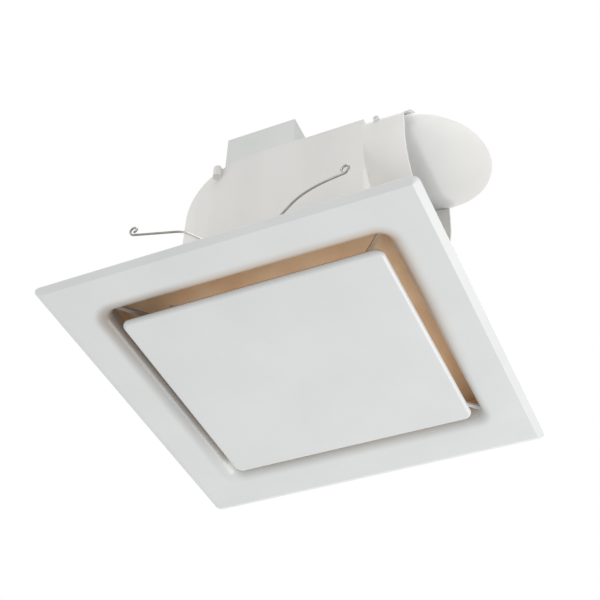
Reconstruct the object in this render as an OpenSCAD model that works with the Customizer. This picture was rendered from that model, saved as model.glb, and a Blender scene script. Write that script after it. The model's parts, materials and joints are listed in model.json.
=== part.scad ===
// Square ceiling ventilation fan with a side duct outlet and a spring-held fascia.
// Sizes in millimetres. z = 0 is the face of the ceiling and +Z goes up into the roof space.
// +X goes to the duct outlet. The springs are on the -Y and +Y sides.

/* [Fascia] */
// Width of the fascia frame along X
fascia_width = 300; // [292:1:330]
// Length of the fascia frame along Y
fascia_length = 308; // [296:1:340]
// Depth of the frame below the ceiling
fascia_depth = 3; // [2.6:0.1:4]
// Width of the sloped edge
rim_bevel = 5.4; // [4:0.1:5.8]
// Outer corner radius of the frame
rim_corner = 5.8; // [5.8:0.1:12]
// Wall of the moulded frame
fascia_wall = 1.8; // [1.4:0.1:2]
// Radius of the rolled lip round the intake
lip_radius = 9; // [8:0.5:10]
// Height of the throat wall above the lip
throat_height = 6; // [4:0.5:8]

/* [Centre panel] */
// Width of the centre panel along X
panel_width = 210; // [204:1:211]
// Length of the centre panel along Y
panel_length = 203; // [198:1:211]
// How far the panel stands below the frame
panel_drop = 3.6; // [2:0.2:6]
// Width of the air gap round the panel
intake_gap = 6; // [5:0.5:7]
// Corner radius of the panel
panel_corner = 7; // [5:0.5:9]
// Radius of the panel's front edge
panel_edge = 3; // [2.5:0.1:3.2]
// Height of the panel's side
panel_side = 3.5; // [3.2:0.1:7]
// Wall of the panel
panel_wall = 2.4; // [1.8:0.1:3]

/* [Springs] */
// Diameter of the spring wire
wire_d = 1.8; // [1.4:0.1:1.9]
// Mean radius of the coil
coil_radius = 3.2; // [3.1:0.1:3.6]
// Full turns of the coil, besides the last three quarters
coil_turns = 3; // [2:1:3]
// Rise of the coil for each turn
coil_pitch = 2.25; // [2.25:0.05:2.4]
// Slope of the right arm
right_slope = 1.1; // [1:0.01:1.2]
// Slope of the left arm
left_slope = 0.89; // [0.86:0.01:1]
// Reach of the right arm to its bend
right_bend = 50; // [46:0.5:54]
// Reach of the left arm to its bend
left_bend = 45.7; // [42:0.1:50]
// Reach of the right arm to its tip
right_reach = 88; // [84:0.5:94]
// Reach of the left arm to its tip
left_reach = 86; // [82:0.5:92]
// Height of the right tip above the ceiling
right_tip = 52.8; // [50:0.1:58]
// Height of the left tip above the ceiling
left_tip = 56.1; // [52:0.1:60]
// How far the tips lean away from the housing
tip_lean = 9; // [4:0.5:12]
// Mean radius of the curl at each tip
curl_radius = 3.1; // [2.6:0.1:3.6]

/* [Housing] */
// Height of the housing above the ceiling
housing_height = 138; // [132:1:150]
// Height of the tray above the ceiling
tray_height = 24; // [23.6:0.1:26]
// Wall of the tray and the scroll
wall = 2; // [1.8:0.1:2.4]
// Middle of the impeller along X
wheel_x = -5; // [-8:0.5:-3]
// Middle of the impeller along Y
wheel_y = -2; // [-4:0.5:0]
// Air gap between the wheel and the start of the scroll
scroll_gap = 14; // [12:0.5:15]
// Growth of the scroll for each quarter turn
scroll_step = 6; // [5:0.5:6.5]

/* [Outlet] */
// Outside radius of the round side of the outlet
duct_radius = 55; // [50:0.5:55]
// Wall of the outlet
duct_wall = 2.2; // [2:0.1:2.6]
// Length of the outlet beyond the housing
outlet_length = 35; // [30:1:44]
// Height of the outlet's straight sides
duct_flat = 26; // [24:0.5:30]
// Corner radius on top of the outlet
duct_corner = 9; // [7:0.5:11]
// Air gap round the closed flap
flap_gap = 1.2; // [1:0.1:1.6]
// Thickness of the flap
flap_thickness = 1.6; // [1.2:0.1:2]
// Angle of the open flap from the closed one
flap_open = 81; // [60:1:82]
// Diameter of the hinge pin
pin_d = 2.5; // [2:0.1:2.8]

/* [Impeller and motor] */
// Outside radius of the impeller
wheel_radius = 76; // [72:0.5:77]
// Radial depth of the blades
blade_depth = 14; // [12:0.5:15]
// Number of blades
blade_count = 36; // [24:1:40]
// Thickness of a blade
blade_wall = 1.2; // [1:0.1:1.6]
// Diameter of the motor shaft
shaft_d = 6; // [5:0.1:7]
// Radius of the motor
motor_radius = 40; // [36:0.5:42]
// Height of the stator core
core_height = 16; // [14:0.5:16]
// Running clearance of pins and shafts
running_fit = 0.05; // [0.02:0.01:0.1]

/* [Terminal box] */
// Width of the terminal box
box_width = 60.5; // [54:0.5:70]
// Depth of the terminal box
box_depth = 40; // [38:0.5:50]
// Height of the terminal box above the roof
box_height = 38; // [32:0.5:44]
// Diameter of the supply cable
cable_d = 7; // [6:0.1:8]

/* [Fixings] */
// Inset of the ceiling flange from the fascia's sides
flange_inset = 8.8; // [7:0.1:10]
// Spacing of the ceiling screws along Y
fixing_y = 190; // [150:1:200]
// Diameter of the ceiling screw holes
fixing_hole = 4.5; // [3.5:0.1:5]
// Diameter of the thread of the small screws
screw_d = 3; // [2.5:0.1:3.2]

/* [Hidden] */
$fn = 64;
body_gap = 0.4;

// Square rings share one corner centre, and each profile is measured out from it.
throat = panel_width / 2 + intake_gap;
throat_corner = 8;
cc = throat - throat_corner;
lip_out = throat_corner + lip_radius;
lip_z = lip_radius - fascia_depth;
tray_in = throat_corner + fascia_wall + body_gap;
tray_out = tray_in + wall;
tray_face = cc + tray_out;
skirt_in = lip_out - 1;
skirt_out = skirt_in + wall;
step_z = lip_z + 2;
flange_sheet = 0.8;
flange_in = lip_out - 0.8;
flange_x = fascia_width / 2 - flange_inset;
flange_y = fascia_length / 2 - flange_inset - 4;
flange_start = cc + skirt_out + flange_sheet;
fixing_x = flange_start + flange_x;
tray_plate = tray_height - wall;

// Springs
spring_y = tray_face + 5.8;
coil_z = 4.3;
coil_span = (coil_turns + 0.75) * coil_pitch;
right_end = atan(1 / right_slope);
left_end = atan(1 / left_slope);
apex_z = coil_z + coil_radius * (sin(left_end) + cos(left_end) * left_slope);
boss_r = coil_radius - wire_d / 2 - 0.3;
rib_t = 1.4;
rib_in = spring_y - coil_span / 2 - wire_d / 2 - 0.3;
rib_out = spring_y + coil_span / 2 + wire_d / 2 + 0.3;
bracket_t = 1.2;
bracket_top = tray_height;
apex_right = coil_z + coil_radius * (sin(right_end) + cos(right_end) * right_slope);
slot_half = (bracket_top - apex_z) / left_slope + wire_d / 2 / cos(left_end) + 0.3;
slot_right = (bracket_top - apex_right) / right_slope + wire_d / 2 / cos(right_end) + 0.3;
bracket_leg = 7;
bracket_half = slot_half + bracket_leg;
bracket_y = rib_out + 2;
leg_x = slot_half + bracket_leg / 2;
leg_z = bracket_top - 7;

// Scroll, drawn as three quarter circles about stepped centres
c1 = [wheel_x - scroll_step / 3, wheel_y + scroll_step / 2];
c2 = [c1[0], c1[1] - scroll_step];
c3 = [c2[0] + scroll_step, c2[1]];
r1 = wheel_radius + scroll_gap;
r2 = r1 + scroll_step;
r3 = r2 + scroll_step;
near_y = c3[1] - r3;
outlet_x = wheel_x + wheel_radius + 19.7;
outlet_w = 2 * duct_radius + 2;
far_y = near_y + outlet_w;
roof_z = housing_height - duct_wall;
outlet_flange = 2.5;

// Outlet and flap
duct_y = near_y + duct_radius;
duct_z = housing_height - duct_flat;
pin_r = pin_d / 2;
knuckle_r = pin_r + 0.95;
hinge_x = outlet_x + 13;
hinge_z = roof_z - body_gap - knuckle_r;
flap_r = duct_radius - duct_wall - flap_gap;
flap_centre = hinge_z - duct_z;
flap_offset = knuckle_r - flap_thickness / 2;
seat_x = hinge_x + flap_offset - flap_thickness / 2 - body_gap - 1.8;
outlet_end = outlet_x + outlet_length;
boss_len = 1.4;
boss_hinge = 2.4;

// Impeller and motor, from the roof down
motor_top = roof_z - 2;
shield_h = 9.8;
core_top = motor_top - shield_h;
core_bottom = core_top - core_height;
motor_bottom = core_bottom - 8.2;
wheel_top = motor_bottom - 1.8;
wheel_bottom = tray_height + 9;
eye_r = wheel_radius - blade_depth;
bell_r = eye_r - 4;
bell_wall = 1.6;
bell_curve = 8;
shaft_r = shaft_d / 2;
bearing_r = shaft_r + 6.5;
bearing_h = 6;
shield_wall = 2;
rotor_r = motor_radius - 19.4;
core_in = rotor_r + body_gap;
foot_r = motor_radius + 6;
hub_r = shaft_r + 5;
hub_bottom = wheel_top - 16;

// Terminal box
box_x = -box_width / 2 + 0.25;
box_y = near_y + 7;
box_top = housing_height + box_height;
box_wall = 1.8;
bush_y = box_y + box_depth / 2 + 4;
bush_z = housing_height + 14;
lead_x = box_x + 14;
lead_y = box_y + box_depth - 8;

// Screws
sr = screw_d / 2;
head_r = screw_d;
head_h = 2;

// Helpers

// Sweeps a profile round a rectangle with round corners, x measured from the corner centres.
module sweep(cx, cy) {
  for (k = [0:3]) {
    ax = k % 2 == 0 ? cx : cy;
    ay = k % 2 == 0 ? cy : cx;
    rotate([0, 0, 90 * k]) {
      translate([ax, ay, 0])
        rotate_extrude(angle = 90) children();
      translate([ax, ay, 0])
        rotate([90, 0, 0])
          linear_extrude(2 * ay) children();
    }
  }
}

// Plan of a rectangle with round corners, by its half sizes.
module round_rect(hx, hy, r) {
  square([2 * (hx - r), 2 * hy], center = true);
  square([2 * hx, 2 * (hy - r)], center = true);
  for (sx = [-1, 1], sy = [-1, 1])
    translate([sx * (hx - r), sy * (hy - r)]) circle(r);
}

// Lays a plan drawn as (y, z) along X.
module along_x(x0, len) {
  translate([x0, 0, 0])
    rotate([90, 0, 90])
      linear_extrude(len) children();
}

module rod_x(x0, len, y, z, r) {
  translate([x0, y, z]) rotate([0, 90, 0]) cylinder(r = r, h = len);
}

module rod_y(x, y0, len, z, r) {
  translate([x, y0, z]) rotate([-90, 0, 0]) cylinder(r = r, h = len);
}

// A screw that stands on z with its head up, its shank reaching down by len.
module screw_down(p, z, len) {
  translate([p[0], p[1], z]) {
    difference() {
      cylinder(r = head_r, h = head_h);
      translate([-head_r * 0.6, -0.4, head_h - 0.9]) cube([head_r * 1.2, 0.8, 2]);
      translate([-0.4, -head_r * 0.6, head_h - 0.9]) cube([0.8, head_r * 1.2, 2]);
    }
    translate([0, 0, -len]) cylinder(r = sr, h = len + 0.2);
  }
}

// A point at an angle on a circle about c.
function at(c, r, a) = [c[0] + r * cos(a), c[1] + r * sin(a)];

// Fascia

module rim_profile() {
  r = rim_corner;
  polygon([[r - rim_bevel, -fascia_depth], [r, -0.6], [r, 0], [r - 2, 0],
    [r - rim_bevel, fascia_wall - fascia_depth]]);
}

module lip_profile() {
  intersection() {
    translate([lip_out, lip_z]) difference() {
      circle(lip_radius);
      circle(lip_radius - fascia_wall);
    }
    translate([throat_corner, -fascia_depth]) square([lip_radius, lip_radius]);
  }
  translate([throat_corner, lip_z]) square([fascia_wall, throat_height]);
}

// Corner arms that carry the centre panel: one end in the throat wall, one on a panel post.
post_xy = panel_width / 2 - 22;
post_r = sr + 1.7;
arm_h = 2;
arm_w = 3.4;
arm_z = lip_z + throat_height - 4;

module arm() {
  translate([post_xy, post_xy, arm_z]) cylinder(r = head_r + 2, h = arm_h);
  translate([post_xy, post_xy, arm_z])
    rotate([0, 0, 45])
      translate([0, -arm_w / 2, 0])
        cube([(cc - post_xy) * sqrt(2) + throat_corner + 0.6, arm_w, arm_h]);
}

module fascia_frame() {
  hx = fascia_width / 2;
  hy = fascia_length / 2;
  color([0.86, 0.87, 0.86])
  difference() {
    union() {
      translate([0, 0, -fascia_depth])
        linear_extrude(fascia_wall)
          difference() {
            round_rect(hx - rim_bevel, hy - rim_bevel, rim_corner - rim_bevel);
            round_rect(cc + lip_out, cc + lip_out, lip_out);
          }
      sweep(hx - rim_corner, hy - rim_corner) rim_profile();
      sweep(cc, cc) lip_profile();
      for (k = [0:3]) rotate([0, 0, 90 * k]) arm();
      for (s = [0, 1]) mirror([0, s, 0]) {
        translate([-5, -rib_in, lip_z - 6.2]) cube([10, rib_t, coil_z + 9.5 - lip_z]);
        translate([-5, -rib_out - rib_t, fascia_wall - fascia_depth - 0.6])
          cube([10, rib_t, coil_z + 3.3 - fascia_wall + fascia_depth + 0.8]);
        rod_y(0, -rib_out - 0.5, rib_out - rib_in + 1, coil_z, boss_r);
      }
    }
    for (k = [0:3]) rotate([0, 0, 90 * k])
      translate([post_xy, post_xy, arm_z - 1]) cylinder(r = sr, h = arm_h + 2);
  }
}

// Centre panel: a shallow moulded tray with a rounded front edge.
module panel_profile() {
  r = panel_corner;
  z = -fascia_depth - panel_drop;
  difference() {
    union() {
      translate([r - panel_edge, z + panel_edge]) circle(panel_edge);
      translate([r - panel_wall, z + panel_edge]) square([panel_wall, panel_side - panel_edge]);
      translate([0, z]) square([r - panel_edge, panel_wall]);
    }
    translate([-1, z + panel_wall]) square([1 + r - panel_wall, panel_side]);
  }
}

module centre_panel() {
  hx = panel_width / 2 - panel_corner;
  hy = panel_length / 2 - panel_corner;
  z = -fascia_depth - panel_drop;
  color([0.87, 0.88, 0.87])
  difference() {
    union() {
      translate([-hx, -hy, z]) cube([2 * hx, 2 * hy, panel_wall]);
      sweep(hx, hy) panel_profile();
      for (k = [0:3]) rotate([0, 0, 90 * k])
        translate([post_xy, post_xy, z + 1]) cylinder(r = post_r, h = arm_z - z - 1);
    }
    for (k = [0:3]) rotate([0, 0, 90 * k])
      translate([post_xy, post_xy, z + panel_wall]) cylinder(r = sr, h = 30);
  }
}

module panel_screws() {
  color([0.7, 0.7, 0.72])
  for (k = [0:3]) rotate([0, 0, 90 * k])
    screw_down([post_xy, post_xy], arm_z + arm_h, arm_h + 7);
}

// V springs: one wire from tip to tip, wound round its boss in the middle.
function unit(v) = v / norm(v);

// One arm from the coil to its tip, drawn on the +X side: straight, a bend whose two
// handles are h1 and h2, straight again, then a curl that ends in a straight tail.
function arm_points(slope, bend, reach, tip_z, y0, h1, h2) =
  let (
    a = atan(1 / slope),
    hit = [-coil_radius * cos(a), y0, coil_z + coil_radius * sin(a)],
    d1 = [sin(a), 0, cos(a)],
    b = [bend, y0, hit[2] + (bend - hit[0]) * slope],
    t = [reach, -spring_y - tip_lean, tip_z],
    d2 = unit(t - b),
    p = b - h1 * d1,
    q = b + h2 * d2,
    side = unit(cross(d2, [0, 1, 0])),
    up = side[2] > 0 ? side : -side,
    away = [0, -3 / 360, 0],
    r = curl_radius
  )
  concat(
    [hit + d1 * wire_d, hit * 0.5 + p * 0.5, p],
    [for (f = [1:7]) let (g = f / 8) p * (1 - g) * (1 - g) + b * 2 * g * (1 - g) + q * g * g],
    [q, q * 0.5 + t * 0.5],
    [for (c = [0:45:300]) t + d2 * r * sin(c) + up * r * (1 - cos(c)) + away * c],
    [t + d2 * r * sin(300) + up * r * (1 - cos(300)) + away * 300
      + (d2 * cos(300) + up * sin(300)) * wire_d + away * 30]
  );

function flip_x(pts) = [for (p = pts) [-p[0], p[1], p[2]]];
function reversed(pts) = [for (i = [len(pts) - 1:-1:0]) pts[i]];

coil_steps = 30;
coil_sweep = 360 * (coil_turns + 1) - 180 + left_end + right_end;
y_right = -spring_y + coil_span / 2;
y_left = -spring_y - coil_span / 2;
spring_path = concat(
  reversed(arm_points(right_slope, right_bend, right_reach, right_tip, y_right, 16, 30)),
  [for (i = [0:coil_steps])
    let (a = 180 - right_end + i / coil_steps * coil_sweep)
    [coil_radius * cos(a), y_right - coil_span * i / coil_steps, coil_z + coil_radius * sin(a)]],
  flip_x(arm_points(left_slope, left_bend, left_reach, left_tip, y_left, 5, 6))
);

// Least gap of the wire to itself, over points more than one turn part apart.
spring_gap = min([for (i = [0:len(spring_path) - 1], j = [i + 6:1:len(spring_path) - 1])
  norm(spring_path[i] - spring_path[j])]) - wire_d;
echo(spring_gap = spring_gap);

module wire(path, r) {
  n = len(path);
  t = [for (i = [0:n - 1]) unit(path[min(i + 1, n - 1)] - path[max(i - 1, 0)])];
  rings = [for (i = [0:n - 1])
    let (u = unit(cross([0, 1, 0], t[i])), v = cross(t[i], u))
    for (k = [0:5]) path[i] + r * (cos(60 * k) * u + sin(60 * k) * v)];
  sides = [for (i = [0:n - 2], k = [0:5])
    let (a = 6 * i + k, b = 6 * i + (k + 1) % 6)
    each [[a, a + 6, b], [b, a + 6, b + 6]]];
  last = 6 * (n - 1);
  polyhedron(rings, concat(sides, [[0, 1, 2, 3, 4, 5]],
    [[last + 5, last + 4, last + 3, last + 2, last + 1, last]]), convexity = 10);
}

module v_spring_near() {
  color([0.75, 0.76, 0.78]) wire(spring_path, wire_d / 2);
}

module v_spring_far() {
  color([0.75, 0.76, 0.78]) mirror([0, 1, 0]) wire(spring_path, wire_d / 2);
}

// Tray and ceiling flange

module tray_profile() {
  translate([tray_in, step_z]) square([wall, tray_plate - step_z]);
  translate([tray_in, step_z]) square([skirt_out - tray_in, wall]);
  translate([skirt_in, 0]) square([wall, step_z + wall]);
}

rivet_y = 60;
rivet_z = step_z - 3;
rivet_r = 2.4;
lug_r = 5;
foot = [at(c3, r3 + 4, 225), at(c2, r2 + 4, 135), at(c1, r1 + 4, 45), [outlet_x - 4, far_y + 4.5]];

module base_tray() {
  color([0.83, 0.83, 0.82])
  difference() {
    sweep(cc, cc) tray_profile();
    for (s = [0, 1]) mirror([0, s, 0]) {
      translate([-bracket_half - 4, -tray_face - 20, -1])
        cube([2 * bracket_half + 8, 20, step_z + wall + 1.1]);
      translate([-8, -tray_face - 1, -1]) cube([16, wall + 2, coil_z + 9.2]);
      for (x = [-1, 1])
        rod_y(x * leg_x, -tray_face - 1, wall + 2, leg_z, sr);
    }
    for (x = [-1, 1], y = [-1, 1])
      rod_x(x > 0 ? cc + skirt_in - 1 : -cc - skirt_out - 1, wall + 2, y * rivet_y, rivet_z, sr);
  }
}

// The tray's top carries the scroll, and the air goes through its round hole.
module tray_top() {
  color([0.84, 0.83, 0.81])
  translate([0, 0, tray_plate])
  difference() {
    linear_extrude(wall) round_rect(cc + tray_out, cc + tray_out, tray_out);
    translate([wheel_x, wheel_y, -1]) cylinder(r = bell_r + bell_curve, h = wall + 2);
    for (p = foot) translate([p[0], p[1], -1]) cylinder(r = sr, h = wall + 2);
    for (k = [0:3])
      translate(concat(at([wheel_x, wheel_y], bell_r + 12, 45 + 90 * k), -1))
        cylinder(r = sr, h = wall + 2);
  }
}

// Room for the springs and their brackets, cut through the flange and its collar.
module spring_room() {
  for (s = [0, 1]) mirror([0, s, 0])
    translate([-bracket_half - 4, -bracket_y - 2, -2])
      cube([2 * bracket_half + 8, bracket_y + 2 - cc, 20]);
}

module ceiling_flange() {
  color([0.72, 0.73, 0.74])
  difference() {
    translate([0, 0, -flange_sheet])
      linear_extrude(flange_sheet)
        difference() {
          round_rect(flange_x, flange_y, skirt_out);
          round_rect(flange_start, flange_start, flange_start - cc);
        }
    for (x = [-1, 1], y = [-1, 1])
      translate([x * fixing_x / 2, y * fixing_y / 2, -2]) cylinder(d = fixing_hole, h = 4);
    spring_room();
  }
}

// Folded collar, welded into the flange: its foot lies under the skirt of the tray.
module flange_collar() {
  color([0.72, 0.73, 0.74])
  difference() {
    sweep(cc, cc) {
      translate([flange_in, -flange_sheet])
        square([skirt_out + flange_sheet - flange_in, flange_sheet]);
      translate([skirt_out, -flange_sheet]) square([flange_sheet, flange_sheet + step_z]);
    }
    for (x = [-1, 1], y = [-1, 1])
      rod_x(x > 0 ? cc + skirt_out - 1 : -cc - skirt_out - 2, 3, y * rivet_y, rivet_z, sr);
    spring_room();
  }
}

module flange_rivets() {
  color([0.7, 0.7, 0.72])
  for (x = [0, 1], y = [-1, 1]) mirror([x, 0, 0]) {
    rod_x(flange_start, 1.2, y * rivet_y, rivet_z, rivet_r);
    rod_x(cc + skirt_in, wall + flange_sheet + 0.5, y * rivet_y, rivet_z, sr);
  }
}

// Spring brackets: a folded plate whose slot the two arms press against.
module bracket() {
  difference() {
    translate([-bracket_half, -bracket_y, bracket_top - bracket_t])
      cube([2 * bracket_half, bracket_y - tray_face, bracket_t]);
    translate([-slot_half, -bracket_y + 1.9, bracket_top - bracket_t - 1])
      cube([slot_half + slot_right, bracket_y - tray_face, bracket_t + 2]);
  }
  for (x = [-1, 1])
    difference() {
      translate([x > 0 ? slot_half : -bracket_half, -tray_face - bracket_t, leg_z - 5])
        cube([bracket_leg, bracket_t, bracket_top - leg_z + 5]);
      rod_y(x * leg_x, -tray_face - bracket_t - 1, bracket_t + 2, leg_z, sr);
    }
}

module spring_bracket_near() {
  color([0.72, 0.73, 0.74]) bracket();
}

module spring_bracket_far() {
  color([0.72, 0.73, 0.74]) mirror([0, 1, 0]) bracket();
}

module bracket_rivets() {
  color([0.7, 0.7, 0.72])
  for (s = [0, 1], x = [-1, 1]) mirror([0, s, 0]) {
    rod_y(x * leg_x, -tray_face - bracket_t - 1.2, 1.2, leg_z, head_r);
    rod_y(x * leg_x, -tray_face - bracket_t - 0.5, bracket_t + wall + 0.5, leg_z, sr);
  }
}

// Inlet ring: a rolled bell mouth that reaches into the eye of the wheel.
bell_z = tray_plate - bell_wall;
module inlet_ring() {
  color([0.8, 0.8, 0.78])
  translate([wheel_x, wheel_y, 0])
  difference() {
    rotate_extrude() {
      intersection() {
        translate([bell_r + bell_curve, bell_z + bell_curve]) difference() {
          circle(bell_curve);
          circle(bell_curve - bell_wall);
        }
        translate([bell_r, bell_z]) square([bell_curve, bell_curve]);
      }
      translate([bell_r, bell_z + bell_curve])
        square([bell_wall, wheel_bottom + 2 - bell_z - bell_curve]);
      translate([bell_r + bell_curve, bell_z]) square([8, bell_wall]);
    }
    for (k = [0:3])
      translate(concat(at([0, 0], bell_r + 12, 45 + 90 * k), bell_z - 1))
        cylinder(r = sr, h = bell_wall + 2);
  }
}

module inlet_screws() {
  color([0.7, 0.7, 0.72])
  for (k = [0:3])
    translate(concat(at([wheel_x, wheel_y], bell_r + 12, 45 + 90 * k), 0))
      translate([0, 0, bell_z]) mirror([0, 0, 1]) screw_down([0, 0], 0, bell_wall + wall);
}

// Scroll housing

// Plan of the scroll, drawn inside its outline by d. The outlet side is left open by extra.
module scroll_plan(d, extra) {
  intersection() {
    translate(c1) circle(r1 - d, $fn = 96);
    translate(c1) square(r1);
  }
  intersection() {
    translate(c2) circle(r2 - d, $fn = 96);
    translate([c2[0] - r2, c2[1]]) square(r2);
  }
  intersection() {
    translate(c3) circle(r3 - d, $fn = 96);
    translate([c3[0] - r3, c3[1] - r3]) square(r3);
  }
  translate([c3[0], near_y + d]) square([outlet_x - c3[0] + extra, outlet_w - 2 * d]);
  translate(c2) square([scroll_step, scroll_step]);
}

roof_lug = [at(c3, r3 + 2.5, 251.5), at(c2, r2 + 2.5, 160), at(c1, r1 + 2.5, 70)];
adapter_hole = [[near_y + 6, tray_height + 9], [far_y - 6, tray_height + 9]];

module scroll_housing() {
  color([0.84, 0.84, 0.83])
  difference() {
    union() {
      translate([0, 0, tray_height]) linear_extrude(roof_z - tray_height) scroll_plan(0, 0);
      for (p = foot) translate([p[0], p[1], tray_height]) cylinder(r = lug_r, h = 6);
      for (p = roof_lug) translate([p[0], p[1], roof_z - 8]) cylinder(r = 3.5, h = 8);
      for (p = adapter_hole)
        translate([outlet_x - 8, p[0] - 6, tray_height]) cube([8, 12, 15]);
    }
    difference() {
      translate([0, 0, tray_height - 1])
        linear_extrude(roof_z - tray_height + 2) scroll_plan(wall, 1);
      for (p = adapter_hole)
        translate([outlet_x - 8, p[0] - 6, tray_height - 2]) cube([8, 12, 17]);
    }
    for (p = foot) translate([p[0], p[1], tray_height - 1]) cylinder(r = sr, h = 8);
    for (p = roof_lug) translate([p[0], p[1], roof_z - 7]) cylinder(r = 1.2, h = 8);
    for (p = adapter_hole) rod_x(outlet_x - 6, 8, p[0], p[1], sr);
  }
}

module tray_screws() {
  color([0.7, 0.7, 0.72])
  for (p = foot) screw_down(p, tray_height + 6, 6 + wall);
}

motor_foot = [for (k = [0:3]) at([wheel_x, wheel_y], foot_r, 45 + 90 * k)];

module roof_plate() {
  color([0.84, 0.84, 0.83])
  difference() {
    union() {
      translate([0, 0, roof_z]) linear_extrude(duct_wall) scroll_plan(0, outlet_flange);
      for (p = roof_lug) translate([p[0], p[1], roof_z]) cylinder(r = 3.5, h = duct_wall);
    }
    for (p = roof_lug) translate([p[0], p[1], roof_z - 1]) cylinder(r = 1.2, h = 8);
    for (p = motor_foot) translate([p[0], p[1], roof_z - 1]) cylinder(r = sr, h = 8);
    translate([lead_x, lead_y, roof_z - 1]) cylinder(r = 5, h = 8);
  }
}

module roof_screws() {
  color([0.62, 0.62, 0.6])
  for (p = roof_lug) translate([p[0], p[1], housing_height]) {
    cylinder(r = 2.4, h = 1.8);
    translate([0, 0, -duct_wall - 6]) cylinder(r = 1.2, h = duct_wall + 7);
  }
}

// Outlet

// Section of the outlet as (y, z) about the centre of its round side.
module outlet_section(r, flat, corner) {
  intersection() {
    circle(r, $fn = 96);
    translate([-r, -r]) square([2 * r, r]);
  }
  translate([-r, 0]) square([2 * r, flat - corner]);
  translate([corner - r, 0]) square([2 * (r - corner), flat]);
  for (s = [-1, 1]) translate([s * (r - corner), flat - corner]) circle(corner);
}

// Two ears on the end of the spigot, over the open flap, that stop it.
module stop_ears() {
  intersection() {
    translate([0, duct_y, duct_z])
      along_x(outlet_end - 2, 12) outlet_section(duct_radius, duct_flat, duct_corner);
    for (s = [0, 1])
      translate([outlet_end, duct_y, housing_height - 5.4]) mirror([0, s, 0])
        linear_extrude(6)
          polygon([[-1, -duct_radius], [2, -duct_radius], [5, 4 - duct_radius],
            [6.8, 10 - duct_radius], [-1, 17 - duct_radius]]);
  }
}

module outlet_adapter() {
  color([0.86, 0.86, 0.85])
  difference() {
    union() {
      translate([outlet_x, near_y, tray_height])
        cube([outlet_flange, outlet_w, roof_z - tray_height]);
      translate([0, duct_y, duct_z])
        along_x(outlet_x + outlet_flange, outlet_length - outlet_flange)
          outlet_section(duct_radius, duct_flat, duct_corner);
      rod_y(hinge_x, near_y - boss_len, boss_len + 4, hinge_z, boss_hinge);
      rod_y(hinge_x, duct_y + duct_radius - 4, boss_len + 4, hinge_z, boss_hinge);
      stop_ears();
    }
    difference() {
      translate([0, duct_y, duct_z])
        along_x(outlet_x - 1, outlet_length + 2)
          outlet_section(duct_radius - duct_wall, duct_flat - duct_wall, duct_corner - duct_wall);
      translate([0, duct_y, duct_z])
        along_x(seat_x, 1.8)
          difference() {
            translate([-duct_radius, -duct_radius])
              square([2 * duct_radius, duct_radius + flap_centre - 9]);
            outlet_section(flap_r - 2, duct_flat, duct_corner - duct_wall);
          }
    }
    rod_y(hinge_x, near_y - 5, outlet_w + 10, hinge_z, pin_r);
    for (p = adapter_hole) rod_x(outlet_x - 1, 8, p[0], p[1], sr);
  }
}

module adapter_screws() {
  color([0.7, 0.7, 0.72])
  for (p = adapter_hole) {
    rod_x(outlet_x + outlet_flange, head_h, p[0], p[1], head_r);
    rod_x(outlet_x - 6, 6 + outlet_flange + 0.5, p[0], p[1], sr);
  }
}

module hinge_pin() {
  color([0.72, 0.73, 0.75])
    rod_y(hinge_x, near_y - boss_len, 2 * duct_radius + 2 * boss_len, hinge_z, pin_r);
}

// Flap, drawn closed as it hangs from the pin and then turned up to its open stop.
module flap_plan() {
  w = flap_r;
  k = w - 4.8;
  intersection() {
    translate([0, -flap_centre]) circle(w, $fn = 96);
    translate([-w, -flap_centre - w]) square([2 * w, w]);
  }
  e = 1.2 - flap_centre;
  polygon([[-w, -flap_centre], [w, -flap_centre], [w, e], [k, 0], [-k, 0], [-w, e]]);
}

module backdraft_flap() {
  k = flap_r - 4.8;
  color([0.87, 0.87, 0.86])
  translate([hinge_x, duct_y, hinge_z])
    rotate([0, -flap_open, 0])
      difference() {
        union() {
          along_x(flap_offset - flap_thickness / 2, flap_thickness) flap_plan();
          rod_y(0, -k, 2 * k, 0, knuckle_r);
        }
        rod_y(0, -k - 1, 2 * k + 2, 0, pin_r + running_fit);
      }
}

// Terminal box

box_post = [[box_x + 6, box_y + 6], [box_x + box_width - 6, box_y + box_depth - 6]];

module terminal_box() {
  color([0.81, 0.82, 0.81])
  difference() {
    translate([box_x, box_y, housing_height]) cube([box_width, box_depth, box_height - box_wall]);
    difference() {
      translate([box_x + box_wall, box_y + box_wall, housing_height + box_wall])
        cube([box_width - 2 * box_wall, box_depth - 2 * box_wall, box_height]);
      for (p = box_post)
        translate([p[0], p[1], housing_height]) cylinder(r = 3.2, h = box_height);
    }
    for (p = box_post)
      translate([p[0], p[1], box_top - 12]) cylinder(r = 1.2, h = 14);
    rod_x(box_x + box_width - 5, 8, bush_y, bush_z, cable_d / 2 + 2);
    translate([lead_x, lead_y, housing_height - 1]) cylinder(r = 5, h = box_wall + 2);
    for (x = [-1, 1])
      translate([block_x + x * 13, block_y, housing_height - 1]) cylinder(r = 1.2, h = 4);
  }
}

module terminal_lid() {
  color([0.81, 0.82, 0.81])
  difference() {
    translate([box_x, box_y, box_top - box_wall]) cube([box_width, box_depth, box_wall]);
    for (p = box_post) {
      translate([p[0], p[1], box_top - 3]) cylinder(r = 1.2, h = 6);
      translate([p[0], p[1], box_top - 1.2]) cylinder(r = 2.6, h = 3);
    }
  }
}

module lid_screws() {
  color([0.7, 0.7, 0.72])
  for (p = box_post) translate([p[0], p[1], box_top - 1.2]) {
    difference() {
      cylinder(r = 2.6, h = 1.2);
      translate([-1.6, -0.35, 0.5]) cube([3.2, 0.7, 2]);
    }
    translate([0, 0, -9]) cylinder(r = 1.2, h = 9.2);
  }
}

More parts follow.
